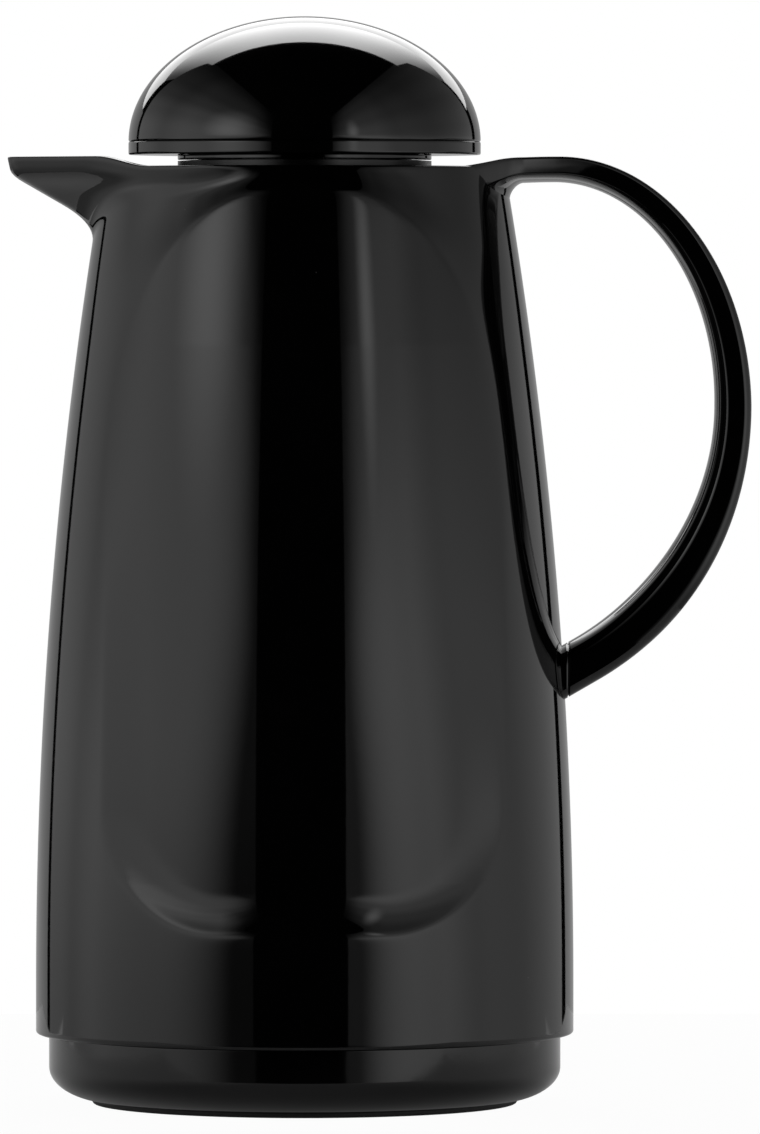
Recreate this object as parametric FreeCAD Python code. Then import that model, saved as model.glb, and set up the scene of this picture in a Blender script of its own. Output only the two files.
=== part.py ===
import FreeCAD, Part
import math
import os

# Thermal jug with a screw stopper, in millimetres.
# +Z is up, the beak points to -X and the handle to +X. The origin is on the jug's axis, on the floor.

V = FreeCAD.Vector
UP = V(0, 0, 1)
FULL = 360.0
QUARTER = 0.5523     # share of the way to the tip at which a quarter ellipse has its poles

# The skin is fitted over some rows beyond its edges, so that the edges themselves lie true
OVER_COUNT = 16
OVER_H = 32.0

# Clearances
SEAT_GAP = 0.15      # between fixed pieces that slide into each other
TURN_GAP = 0.3       # between pieces that turn or rise past each other
THREAD_GAP = 0.4     # between the flanks and crests of mating threads

# Foot and base cap
FOOT_R = 55.4
FOOT_W = 6.0
FOOT_DROP = 1.0      # part of the foot below the base
FOOT_DEPTH = 1.6     # part of the foot inside its groove
BASE_STEP = 3.4      # the skirt stands proud of the base by this much
BASE_H = 17.3        # from the base's underside to the skirt
BASE_ROUND_W = 14.3
BASE_ROUND_H = 8.6
BASE_WALL = 3.2
BASE_COLLAR_H = 20.0
BASE_HOLLOW_R = 40.0
BASE_HOLLOW_DEPTH = 1.2
BASE_RIB_W = 2.0
BASE_RIB_H = 4.0
BASE_THREAD_PITCH = 7.0
BASE_THREAD_DEPTH = 1.8
BASE_THREAD_W = 2.6
BASE_THREAD_TURNS = 1.25
BASE_THREAD_START = 3.0

# Body shell
BODY_R = 70.0
BODY_H = 225.4       # from the skirt to the rim
BODY_WALL = 2.2
BARREL_FOOT = 12.5   # straight part above the skirt
RIM_R = 52.0         # the barrel narrows to this in one arc
SKIRT_EDGE = 0.8

# Arched panel on the front and the back
PANEL_HALF_W = 51.5
PANEL_LIFT = 29.4    # from the skirt to the panel's lower edge
PANEL_CORNER = 30.0
PANEL_SIDE_H = 102.3
PANEL_ARCH_H = 88.5
PANEL_POWER = 2.35
PANEL_DEPTH = 3.2
PANEL_FADE_H = 150.0
PANEL_FILLET = 10.5

# Shoulder and beak
SHOULDER_H = 60.0
SHOULDER_DEPTH = 5.4
SHOULDER_FILLET = 11.0
BEAK_OUT = 25.2      # from the rim to the beak's tip
BEAK_LEVEL = 22.9    # level length of the beak's edge
BEAK_SLOPE = 13.9    # length over which the edge comes down to the rim
BEAK_LIP = 4.8       # height of the beak's front edge
BEAK_FRONT = 0.2     # lean of the front edge
BEAK_UNDER = 1.73    # run of the underside for each mm of rise
BEAK_FLANK = 0.75
BEAK_HALF_W = 6.0
BEAK_NOSE = 0.4      # share of that width under the lip
BEAK_BLEND = 2.5     # rounding of the beak's own edges
BEAK_FILLET = 9.0    # blend of the beak into the shoulder
BEAK_RISE = 2.6      # the beak's edge above the rim
RIM_WALL = 2.2
DECK_DROP = 5.0      # from the rim to the deck
DECK_WALL = 3.0

# Handle
HANDLE_CREST_RUN = 13.6
HANDLE_CREST_RISE = 2.6
HANDLE_REACH = 116.0
HANDLE_MID_DROP = 64.6
HANDLE_LOW_R = 76.2
HANDLE_TOP_T = 6.6
HANDLE_MID_T = 9.4
HANDLE_LOW_T = 12.2
HANDLE_HALF_W = 10.5
HANDLE_ROOT_W = 16.6 # half width at the rim
HANDLE_PLAIN_X = 100.0 # the handle widens from here to the rim
HANDLE_ROOT_T = 10.5
HANDLE_ROOT_IN = 5.0 # the root reaches this far inside the rim
HANDLE_TOP_EDGE = 0.8 # rounding of the outer corners where the handle is thin
HANDLE_LOW_EDGE = 3.4 # and where it is thick
HANDLE_PALM_T = 0.4  # the inner corners round off this share of the thickness
HANDLE_PALM_W = 9.8  # and this much of the width on each side
HANDLE_WALL = 2.4
HANDLE_SIDE = 4.6    # from the handle's sides to the channel for the insert
HANDLE_SEAM = 1.2    # the lower seam stands this far off the barrel
HANDLE_ROOT_L = 8.0  # the upper seam stands this far off the barrel
HANDLE_PLUG = 12.0   # solid length at each end of the handle
CHANNEL_EDGE = 0.8
INSERT_T = 2.0

# Handle screw
SCREW_R = 2.0
SCREW_HEAD_R = 3.8
SCREW_HEAD_H = 2.4
SCREW_L = 12.0
SCREW_LIFT = 2.0     # above the middle of the lower seam

# Neck collar and stopper thread
NECK_R = 33.0
NECK_WALL = 3.1
NECK_PROUD = 1.5
NECK_L = 17.7
NECK_FLANGE_W = 4.5
NECK_FLANGE_H = 2.5
NECK_BOSS_WALL = 5.0
POUR_SLOT_W = 9.0
POUR_SLOT_H = 3.6
POUR_SLOT_COUNT = 3
POUR_SLOT_TURN = 24.0
THREAD_PITCH = 8.0
THREAD_DEPTH = 1.8
THREAD_W = 2.6
THREAD_TURNS = 0.9
THREAD_PHASE = 135.0
THREAD_SINK = 0.4    # the ridge's root lies this deep in its wall
THREAD_SLOPE = 0.3   # lean of the flanks

# Stopper
LID_R = 45.8
LID_BAND_H = 3.4
LID_PLATE_T = 1.8
LID_HUB_H = 1.3
LID_LIP_W = 1.6
LID_LIP_H = 1.6
LID_GROOVE = 0.5
DOME_H = 32.6
DOME_WALL = 2.2
PLUG_WALL = 2.4
PLUG_FLANGE_W = 3.0
PLUG_FLANGE_T = 2.0
SPIGOT_WALL = 2.2
KEEPER_T = 2.0
KEEPER_LIP_H = 2.0
KEEPER_LAP = 2.0     # the keeper holds this much of the seal
SEAL_T = 3.0
SEAL_INSET = 1.0     # the seal's edge lies this far inside the plug's
SEAL_PLAY = 0.1      # above and below the stopper seal

# Vacuum flask and its seats
FLASK_ROOM = 18.0    # from the flask to the outside of the skirt
FLASK_SHOULDER_H = 36.0
FLASK_NECK_H = 16.0
GLASS_T = 1.6
VACUUM_GAP = 3.4
LIP_T = 2.4
TIP_R = 3.0
TIP_H = 5.0
SPACER_R = 4.0
SPACER_COUNT = 3
SPACER_PLAY = 0.05
MOUTH_SEAL_T = 2.3
MOUTH_SEAL_W = 4.0   # from the flask's neck to the outside of the seal
MOUTH_SEAL_DROP = 7.0
CUSHION_H = 13.6
CUSHION_R = 30.0
CUSHION_W = 9.0

# Places that follow from the sizes above
BASE_Z = FOOT_DROP
SKIRT_Z = BASE_Z + BASE_H
RIM_Z = SKIRT_Z + BODY_H
BARREL_Z = SKIRT_Z + BARREL_FOOT
PANEL_Z = SKIRT_Z + PANEL_LIFT
PANEL_ARCH_Z = PANEL_Z + PANEL_SIDE_H
SHOULDER_Z = RIM_Z - SHOULDER_H
BARREL_ARC = ((RIM_Z - BARREL_Z) ** 2 + (BODY_R - RIM_R) ** 2) / (2.0 * (BODY_R - RIM_R))
BEAK_Z = RIM_Z + BEAK_RISE
BEAK_REACH = RIM_R + BEAK_OUT
DECK_Z = RIM_Z - DECK_DROP
CEILING_Z = DECK_Z - DECK_WALL
BASE_R = BODY_R - BASE_STEP
BASE_FLOOR_Z = BASE_Z + BASE_WALL
SKIRT_BORE_R = BODY_R - BODY_WALL
BASE_COLLAR_R = SKIRT_BORE_R - THREAD_GAP - BASE_THREAD_DEPTH
NECK_TOP_Z = RIM_Z + NECK_PROUD
NECK_Z = NECK_TOP_Z - NECK_L
NECK_BORE_R = NECK_R - NECK_WALL
NECK_FLANGE_Z = NECK_Z + NECK_FLANGE_H
SEAL_TOP_Z = NECK_Z + SEAL_T
PLUG_R = NECK_BORE_R - THREAD_GAP - THREAD_DEPTH
PLUG_Z = SEAL_TOP_Z + SEAL_PLAY
PLUG_THREAD_Z = PLUG_Z + SEAL_PLAY
NECK_THREAD_Z = PLUG_THREAD_Z + THREAD_W + THREAD_GAP
KEEPER_Z = NECK_Z - SEAL_PLAY
HUB_Z = NECK_TOP_Z + TURN_GAP
PLATE_Z = HUB_Z + LID_HUB_H
FLANGE_Z = PLATE_Z + LID_PLATE_T
LID_SEAM_Z = PLATE_Z + LID_BAND_H
PLATE_BORE_R = PLUG_R + THREAD_DEPTH + SEAT_GAP
LIP_Z = NECK_Z - MOUTH_SEAL_T
FLASK_R = BODY_R - FLASK_ROOM
FLASK_NECK_R = NECK_R - MOUTH_SEAL_W
MOUTH_R = FLASK_NECK_R - 2.0 * GLASS_T - VACUUM_GAP
SPIGOT_R = MOUTH_R - KEEPER_LAP
FLASK_Z = BASE_FLOOR_Z + CUSHION_H
FLASK_ROUND_Z = FLASK_Z + FLASK_R
HANDLE_CREST_X = RIM_R + HANDLE_CREST_RUN
HANDLE_TOP_Z = RIM_Z + HANDLE_CREST_RISE - HANDLE_TOP_T / 2.0
HANDLE_MID_Z = RIM_Z + HANDLE_CREST_RISE - HANDLE_MID_DROP
HANDLE_MID_X = HANDLE_REACH - HANDLE_MID_T / 2.0


def smooth(t):
    """Rise from 0 to 1 with level ends."""
    t = min(max(t, 0.0), 1.0)
    return t * t * (3.0 - 2.0 * t)


def settle(t):
    """Rise from 0 to 1, steep at the start and level at the end."""
    t = min(max(t, 0.0), 1.0)
    return 1.0 - (1.0 - t) ** 2


def larger(a, b, blend):
    """The larger of two lengths, with a rounded change between them."""
    h = max(blend - abs(a - b), 0.0) / blend
    return max(a, b) + h * h * blend / 4.0


def smaller(a, b, blend):
    """The smaller of two lengths, with a rounded change between them."""
    return -larger(-a, -b, blend)


def barrel_r(z):
    """Radius of the plain barrel at a height."""
    rise = max(z - BARREL_Z, 0.0)
    return BODY_R - BARREL_ARC + math.sqrt(BARREL_ARC ** 2 - rise ** 2)


def panel_inset(x, z):
    """Distance from the panel's outline, positive inside it."""
    w = abs(x)
    if z < PANEL_ARCH_Z:
        across = w - (PANEL_HALF_W - PANEL_CORNER)
        down = PANEL_Z + PANEL_CORNER - z
        corner = math.hypot(max(across, 0.0), max(down, 0.0))
        return PANEL_CORNER - corner - min(max(across, down), 0.0)
    u = w / PANEL_HALF_W
    v = (z - PANEL_ARCH_Z) / PANEL_ARCH_H
    n = PANEL_POWER
    f = max((u ** n + v ** n) ** (1.0 / n), 1e-6)
    slope_u = (u / f) ** (n - 1.0) / PANEL_HALF_W
    slope_v = (v / f) ** (n - 1.0) / PANEL_ARCH_H
    return (1.0 - f) / math.hypot(slope_u, slope_v)


def beak_tip(z):
    """Distance of the beak's tip from the axis at a height."""
    front = BEAK_REACH - BEAK_FRONT * (BEAK_Z - z)
    under_top = BEAK_REACH - BEAK_FRONT * BEAK_LIP
    under = under_top - BEAK_UNDER * (BEAK_Z - BEAK_LIP - z)
    return smaller(front, under, BEAK_BLEND)


def beak_r(turn, z):
    """Radius of the beak at an angle from its middle and a height."""
    tip = max(beak_tip(z), 0.0)
    rise = smooth((z - BEAK_Z + 2.0 * BEAK_LIP) / (2.0 * BEAK_LIP))
    half_w = BEAK_HALF_W * (BEAK_NOSE + (1.0 - BEAK_NOSE) * rise)
    near = math.atan(1.0 / BEAK_FLANK)
    line = (half_w + BEAK_FLANK * tip) / math.hypot(1.0, BEAK_FLANK)
    flank = line * math.cos(turn - near) if turn > near else line / math.cos(near - turn)
    if turn > math.radians(60.0):
        return flank
    return smaller(flank, tip / math.cos(turn), BEAK_BLEND)


def skin_r(turn, z, beak):
    """Radius of the body's skin at an angle from the beak's middle and a height."""
    r = barrel_r(z)
    inset = panel_inset(r * math.cos(turn), z)
    if inset > 0.0:
        fade = 1.0 - (z - PANEL_Z) / PANEL_FADE_H
        r = r - PANEL_DEPTH * max(fade, 0.0) * settle(inset / PANEL_FILLET)
    else:
        lean = smooth((z - SHOULDER_Z) / SHOULDER_H) * settle(-inset / SHOULDER_FILLET)
        r = r - SHOULDER_DEPTH * math.sin(turn) ** 2 * lean
    if beak:
        r = larger(r, beak_r(turn, z), BEAK_FILLET)
    return r


def spread(start, end, count):
    """Evenly spaced values from start up to end, both included."""
    return [start + (end - start) * i / count for i in range(count + 1)]


def skin_point(turn, z, beak, inset):
    r = skin_r(abs(turn) if turn < math.pi else 2.0 * math.pi - turn, z, beak) - inset
    return V(-r * math.cos(turn), r * math.sin(turn), z)


def skin_turns():
    """Angles round half the skin, closer together at the beak."""
    near = math.radians(36.0)
    return spread(0.0, near, 20)[:-1] + spread(near, math.pi, 40)


def skin_levels(bottom, top):
    """Heights of the skin's rows, closer together at the panel's foot and the shoulder."""
    ledge = (PANEL_Z - PANEL_FILLET / 4.0, PANEL_Z + PANEL_FILLET * 1.25)
    marks = [bottom - OVER_H, bottom, *ledge, SHOULDER_Z, top, top + OVER_H]
    counts = [OVER_COUNT, 4, 9, 12, 30, OVER_COUNT]
    levels = marks[:1]
    for low, high, count in zip(marks, marks[1:], counts):
        levels += spread(low, high, count)[1:]
    return levels


def skin_solid(bottom, top, beak, inset):
    """Solid inside the skin between two heights, drawn in by an inset."""
    turns = skin_turns()
    rows = [-t for t in turns[OVER_COUNT:0:-1]] + turns
    rows += [2.0 * math.pi - t for t in turns[-2:-2 - OVER_COUNT:-1]]
    levels = skin_levels(bottom, top)
    surface = Part.BSplineSurface()
    surface.interpolate([[skin_point(t, z, beak, inset) for z in levels] for t in rows])
    u = surface.getUKnots()
    v = surface.getVKnots()
    surface.segment(u[OVER_COUNT], u[-1 - OVER_COUNT], v[OVER_COUNT], v[-1 - OVER_COUNT])
    half = surface.toShape()
    other = half.mirror(V(0, 0, 0), V(0, 1, 0))
    caps = []
    for z in (bottom, top):
        ends = [e for f in (half, other) for e in f.Edges if abs(e.CenterOfMass.z - z) < 0.01]
        caps.append(Part.Face(Part.Wire(ends)))
    shell = Part.Shell([half, other] + caps)
    shell.sewShape()
    solid = Part.Solid(shell)
    if solid.Volume < 0.0:
        solid.reverse()
    return solid


def ring(inner, outer, bottom, top):
    """Plain ring about the axis, or a disc when the inner radius is 0."""
    disc = Part.makeCylinder(outer, top - bottom, V(0, 0, bottom))
    if inner <= 0.0:
        return disc
    return disc.cut(Part.makeCylinder(inner, top - bottom, V(0, 0, bottom)))


def quarter(centre, first, last):
    """Quarter of an ellipse in the XZ plane, from the end of one half axis to the end of the other."""
    c, p, q = (V(x, 0, z) for x, z in (centre, first, last))
    if p.distanceToPoint(c) >= q.distanceToPoint(c):
        return Part.ArcOfEllipse(Part.Ellipse(p, q, c), 0.0, math.pi / 2.0).toShape()
    edge = Part.ArcOfEllipse(Part.Ellipse(q, p, c), 0.0, math.pi / 2.0).toShape()
    return edge.reversed()


def outline(start, *steps):
    """Flat face in the XZ plane. A step is the end of a line, or a curve that goes on from the last."""
    edges = []
    here = V(start[0], 0, start[1])
    for step in steps + (start,):
        if isinstance(step, tuple):
            there = V(step[0], 0, step[1])
            if there.distanceToPoint(here) > 1e-6:
                edges.append(Part.makeLine(here, there))
        else:
            edges.append(step)
            there = step.lastVertex(True).Point
        here = there
    return Part.Face(Part.Wire(edges))


def turned(start, *steps):
    """Solid of revolution of an outline."""
    return outline(start, *steps).revolve(V(0, 0, 0), UP, FULL)


def half_ellipsoid(radius, height, bottom):
    """Upper half of an ellipsoid of revolution that stands on a height."""
    ball = Part.makeSphere(1.0, V(0, 0, 0), UP, 0.0, 90.0, FULL)
    scale = FreeCAD.Matrix()
    scale.scale(V(radius, radius, height))
    scale.move(V(0, 0, bottom))
    return ball.transformGeometry(scale)


def thread(radius, depth, width, pitch, turns, bottom, phase):
    """Screw ridge about the axis that stands out from a radius, or in from it for a negative depth."""
    helix = Part.makeHelix(pitch, pitch * turns, radius)
    root = radius - math.copysign(THREAD_SINK, depth)
    tip = radius + depth
    slope = abs(depth) * THREAD_SLOPE
    corners = [V(root, 0, 0), V(tip, 0, slope), V(tip, 0, width - slope), V(root, 0, width), V(root, 0, 0)]
    section = Part.makePolygon(corners)
    ridge = Part.Wire(helix.Edges).makePipeShell([section], True, True)
    ridge.translate(V(0, 0, bottom))
    ridge.rotate(V(0, 0, 0), UP, phase)
    return ridge


def handle_w(x):
    """Half width of the handle's upper arm at a distance from the axis."""
    share = max(HANDLE_PLAIN_X - x, 0.0) / (HANDLE_PLAIN_X - RIM_R)
    return HANDLE_HALF_W + (HANDLE_ROOT_W - HANDLE_HALF_W) * share * share


def handle_corners(t):
    """Rounding of the handle's outer corners, and of its inner ones in thickness and width."""
    share = min((t - HANDLE_TOP_T) / (HANDLE_LOW_T - HANDLE_TOP_T), 1.0)
    edge = HANDLE_TOP_EDGE + (HANDLE_LOW_EDGE - HANDLE_TOP_EDGE) * share
    return edge, HANDLE_PALM_T * t, HANDLE_PALM_W


def channel_corners(t):
    """Rounding of the corners of the channel in the handle and of its insert."""
    return CHANNEL_EDGE, CHANNEL_EDGE, CHANNEL_EDGE


def handle_stations():
    """Centre, direction, thickness and half width of the handle's sections, from root to lower end."""
    root = RIM_R - HANDLE_ROOT_IN
    run = HANDLE_MID_X - HANDLE_CREST_X
    drop = HANDLE_TOP_Z - HANDLE_MID_Z
    stations = []
    for share in (0.0, 0.4, 0.7):
        flare = (1.0 - share) ** 3
        t = HANDLE_TOP_T + (HANDLE_ROOT_T - HANDLE_TOP_T) * flare
        top = RIM_Z + HANDLE_CREST_RISE * (1.0 - flare)
        place = V(root + (HANDLE_CREST_X - root) * share, 0, top - t / 2.0)
        stations.append((place, V(1, 0, 0), t, handle_w(place.x)))
    for turn in (90.0, 64.0, 42.0, 20.0):
        a = math.radians(turn)
        t = HANDLE_TOP_T + (HANDLE_MID_T - HANDLE_TOP_T) * (1.0 - turn / 90.0)
        place = V(HANDLE_CREST_X + run * math.cos(a), 0, HANDLE_MID_Z + drop * math.sin(a))
        stations.append((place, V(run * math.sin(a), 0, -drop * math.cos(a)), t, handle_w(place.x)))
    for turn in (0.0, 18.0, 34.0, 48.0, 64.0, 74.0):
        a = math.radians(turn)
        t = HANDLE_MID_T + (HANDLE_LOW_T - HANDLE_MID_T) * smooth(turn / 48.0)
        x = HANDLE_MID_X - HANDLE_LOW_R * (1.0 - math.cos(a))
        place = V(x, 0, HANDLE_MID_Z - HANDLE_LOW_R * math.sin(a))
        stations.append((place, V(-math.sin(a), 0, -math.cos(a)), t, HANDLE_HALF_W))
    return stations


def handle_seam():
    """Distance from the axis and height of the middle of the handle's lower seam."""
    z = HANDLE_MID_Z - HANDLE_LOW_R
    for _ in range(12):
        x = barrel_r(z) + HANDLE_SEAM
        a = math.acos(1.0 - (HANDLE_MID_X - x) / HANDLE_LOW_R)
        z = HANDLE_MID_Z - HANDLE_LOW_R * math.sin(a)
    return x, z


def rounded_wire(place, along, low, high, side, edge, palm_t, palm_w):
    """Outline with rounded corners across a direction, between two offsets and two sides."""
    outward = V(-along.z, 0, along.x).normalize()
    edges = []
    last = None
    corners = (
        (high, -edge, -side, edge), (high, -edge, side, -edge),
        (low, palm_t, side, -palm_w), (low, palm_t, -side, palm_w))
    for a, da, y, dy in corners:
        tip = place + outward * a + V(0, y, 0)
        level = tip + V(0, dy, 0)
        upright = tip + outward * da
        start, end = (upright, level) if da * dy < 0 else (level, upright)
        if last is not None:
            edges.append(Part.makeLine(last, start))
        bend = Part.BezierCurve()
        bend.setPoles([start, start + (tip - start) * QUARTER, end + (tip - end) * QUARTER, end])
        edges.append(bend.toShape())
        last = end
    edges.append(Part.makeLine(last, edges[0].firstVertex(True).Point))
    return Part.Wire(edges)


def handle_loft(stations, low, high, inset, corners):
    """Solid along the handle. The offsets and the corners are given by functions of the thickness."""
    wires = [rounded_wire(c, d, low(t), high(t), w - inset, *corners(t)) for c, d, t, w in stations]
    return Part.makeLoft(wires, True, False)


def polar_wire(z, inset):
    """Closed outline of the skin at a height, drawn in by an inset."""
    turns = skin_turns()
    points = [skin_point(t, z, True, inset) for t in turns]
    points += [skin_point(2.0 * math.pi - t, z, True, inset) for t in turns[-2:0:-1]]
    curve = Part.BSplineCurve()
    curve.interpolate(points, PeriodicFlag=True)
    return Part.Wire(curve.toShape())


def slab(x0, x1, z0, z1):
    """Box between two X and two Z planes that is wider than the jug."""
    return Part.makeBox(x1 - x0, 4.0 * BODY_R, z1 - z0, V(x0, -2.0 * BODY_R, z0))


def flask_form(inset, tipped):
    """Solid inside the flask's outer face, drawn in by an inset, with or without the tip under it."""
    r = FLASK_R - inset
    neck = FLASK_NECK_R - inset
    high = LIP_Z - FLASK_NECK_H - FLASK_SHOULDER_H
    top = high + FLASK_SHOULDER_H - inset

    def on_ball(turn):
        return V(r * math.sin(turn), 0, FLASK_ROUND_Z - r * math.cos(turn))

    pole = math.asin(TIP_R / r) if tipped else 0.0
    side = math.pi / 2.0
    bottom = Part.Arc(on_ball(pole), on_ball((pole + side) / 2.0), on_ball(side)).toShape()
    shoulder = quarter((neck, high), (r, high), (neck, top))
    foot = [(0, FLASK_ROUND_Z - r)]
    if tipped:
        tip_z = FLASK_ROUND_Z - r - TIP_H
        foot = [(0, tip_z), (TIP_R / 3.0, tip_z), (TIP_R, on_ball(pole).z)]
    return turned(*foot, bottom, (r, high), shoulder, (neck, LIP_Z), (0, LIP_Z))


def export(name, *shapes):
    """Write one node, which has one solid or several alike."""
    solids = [solid for shape in shapes for solid in shape.removeSplitter().Solids]
    result = solids[0] if len(solids) == 1 else Part.Compound(solids)
    print(name, len(solids), round(result.Volume), result.isValid())
    result.exportStep("parts/" + name + ".step")


os.makedirs("parts", exist_ok=True)

# Handle: one form, split at its two seams
stations = handle_stations()
seam_x, seam_z = handle_seam()
root_x = RIM_R + HANDLE_ROOT_L
handle_form = handle_loft(stations, lambda t: -t / 2.0, lambda t: t / 2.0, 0.0, handle_corners)
root_side = slab(0.0, root_x, HANDLE_MID_Z, RIM_Z + BODY_R)
low_side = slab(0.0, seam_x, 0.0, HANDLE_MID_Z)
solid_ends = [
    slab(0.0, root_x + HANDLE_PLUG, HANDLE_MID_Z, RIM_Z + BODY_R),
    slab(0.0, seam_x + HANDLE_PLUG, 0.0, HANDLE_MID_Z)]
channel = handle_loft(
    stations, lambda t: -t, lambda t: t / 2.0 - HANDLE_WALL, HANDLE_SIDE, channel_corners)
channel = channel.cut(solid_ends)
insert = handle_loft(
    stations, lambda t: -t, lambda t: INSERT_T - t / 2.0, HANDLE_SIDE + SEAT_GAP, channel_corners)
insert = insert.common(handle_form).cut(solid_ends)

# Handle screw, driven from inside the shell
screw_z = seam_z + SCREW_LIFT
screw_x = barrel_r(screw_z) - BODY_WALL + SEAT_GAP
screw_foot = V(screw_x, 0, screw_z)
screw = Part.makeCylinder(SCREW_R, SCREW_L, screw_foot, V(1, 0, 0))
screw = screw.fuse(Part.makeCylinder(SCREW_HEAD_R, SCREW_HEAD_H, screw_foot, V(-1, 0, 0)))
screw_hole = Part.makeCylinder(SCREW_R + SEAT_GAP, SCREW_L + SEAT_GAP, screw_foot, V(1, 0, 0))
head_room = Part.makeCylinder(SCREW_HEAD_R + SEAT_GAP, 2.0 * SCREW_HEAD_H, screw_foot, V(-1, 0, 0))

# Body shell
body = skin_solid(SKIRT_Z, BEAK_Z + BEAK_RISE, True, 0.0)
over_rim = outline(
    (-2.0 * BEAK_REACH, BEAK_Z), (BEAK_LEVEL - BEAK_REACH, BEAK_Z),
    (BEAK_LEVEL + BEAK_SLOPE - BEAK_REACH, RIM_Z),
    (2.0 * BODY_R, RIM_Z), (2.0 * BODY_R, RIM_Z + BODY_R), (-2.0 * BEAK_REACH, RIM_Z + BODY_R))
over_rim.translate(V(0, -2.0 * BODY_R, 0))
body = body.cut(over_rim.extrude(V(0, 4.0 * BODY_R, 0)))
body = body.fuse([handle_form.common(root_side), handle_form.common(low_side)])
trough = Part.makeLoft([polar_wire(DECK_Z, RIM_WALL), polar_wire(BEAK_Z + BEAK_RISE, RIM_WALL)], True, True)
cavity = skin_solid(SKIRT_Z - BASE_H, CEILING_Z, False, BODY_WALL)
body = body.cut([trough, cavity])
boss = ring(NECK_R, NECK_R + NECK_BOSS_WALL, NECK_FLANGE_Z, DECK_Z - SEAT_GAP)
skirt_ridge_z = SKIRT_Z + BASE_THREAD_START
skirt_ridge = thread(
    SKIRT_BORE_R, -BASE_THREAD_DEPTH, BASE_THREAD_W, BASE_THREAD_PITCH, BASE_THREAD_TURNS,
    skirt_ridge_z, 0.0)
body = body.fuse([boss, skirt_ridge])
skirt_edge = turned(
    (BODY_R - SKIRT_EDGE, SKIRT_Z - SEAT_GAP), (BODY_R + SKIRT_EDGE, SKIRT_Z + 2.0 * SKIRT_EDGE - SEAT_GAP),
    (BODY_R + SKIRT_EDGE, SKIRT_Z - SEAT_GAP))
neck_hole = ring(0.0, NECK_R + SEAT_GAP, NECK_Z, NECK_TOP_Z)
body = body.cut([neck_hole, skirt_edge, screw_hole, head_room])
export("body_shell", body)

handle = handle_form.cut([root_side, low_side, channel, screw_hole])
export("handle_shell", handle)
export("handle_insert", insert)
export("handle_screw", screw)

# Base cap and foot
base_flat = BASE_R - BASE_ROUND_W
base_side = BASE_Z + BASE_ROUND_H
base_round = quarter((base_flat, base_side), (base_flat, BASE_Z), (BASE_R, base_side))
collar_top = SKIRT_Z + BASE_COLLAR_H
collar_bore = BASE_COLLAR_R - BASE_WALL
base = turned(
    (0, BASE_Z + BASE_HOLLOW_DEPTH), (BASE_HOLLOW_R, BASE_Z + BASE_HOLLOW_DEPTH), (BASE_HOLLOW_R, BASE_Z),
    (base_flat, BASE_Z), base_round, (BASE_R, SKIRT_Z), (BASE_COLLAR_R, SKIRT_Z + SKIRT_EDGE),
    (BASE_COLLAR_R, collar_top), (collar_bore, collar_top), (collar_bore, SKIRT_Z - BASE_WALL),
    (base_flat, BASE_FLOOR_Z), (0, BASE_FLOOR_Z))
rib_r = CUSHION_R + SEAT_GAP
rib = ring(rib_r, rib_r + BASE_RIB_W, BASE_FLOOR_Z - SEAT_GAP, BASE_FLOOR_Z + BASE_RIB_H)
base_ridge = thread(
    BASE_COLLAR_R, BASE_THREAD_DEPTH, BASE_THREAD_W, BASE_THREAD_PITCH, BASE_THREAD_TURNS,
    skirt_ridge_z + BASE_THREAD_W + THREAD_GAP, 0.0)
foot_groove = ring(FOOT_R - FOOT_W - SEAT_GAP, FOOT_R + SEAT_GAP, 0.0, BASE_Z + FOOT_DEPTH)
export("base_cap", base.fuse([rib, base_ridge]).cut(foot_groove))
export("foot_ring", ring(FOOT_R - FOOT_W, FOOT_R, 0.0, BASE_Z + FOOT_DEPTH))

# Vacuum flask
wall = GLASS_T + VACUUM_GAP
outer_glass = flask_form(0.0, True).cut(flask_form(GLASS_T, False))
outer_glass = outer_glass.cut(ring(0.0, FLASK_R, LIP_Z - LIP_T, LIP_Z))
inner_glass = flask_form(wall, False).fuse(ring(0.0, FLASK_NECK_R, LIP_Z - LIP_T, LIP_Z))
inner_glass = inner_glass.cut(flask_form(wall + GLASS_T, False))
export("flask_outer", outer_glass)
export("flask_inner", inner_glass)
spacers = []
spacer_ring = ring(FLASK_R - wall + SPACER_PLAY, FLASK_R - GLASS_T - SPACER_PLAY, FLASK_Z, LIP_Z)
for n in range(SPACER_COUNT):
    pad = Part.makeCylinder(SPACER_R, FLASK_R, V(0, 0, FLASK_ROUND_Z + SPACER_R), V(1, 0, 0))
    pad.rotate(V(0, 0, 0), UP, FULL * n / SPACER_COUNT)
    spacers.append(pad.common(spacer_ring))
export("flask_spacers", *spacers)

# Soft seats of the flask
mouth_seal = turned(
    (MOUTH_R, LIP_Z), (FLASK_NECK_R + SEAT_GAP, LIP_Z), (FLASK_NECK_R + SEAT_GAP, LIP_Z - MOUTH_SEAL_DROP),
    (NECK_R, LIP_Z - MOUTH_SEAL_DROP), (NECK_R, NECK_Z), (MOUTH_R, NECK_Z))
export("mouth_seal", mouth_seal)
cushion = ring(CUSHION_R - CUSHION_W, CUSHION_R, BASE_FLOOR_Z, FLASK_ROUND_Z)
export("flask_cushion", cushion.cut(flask_form(0.0, False)).Solids[0])

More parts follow.
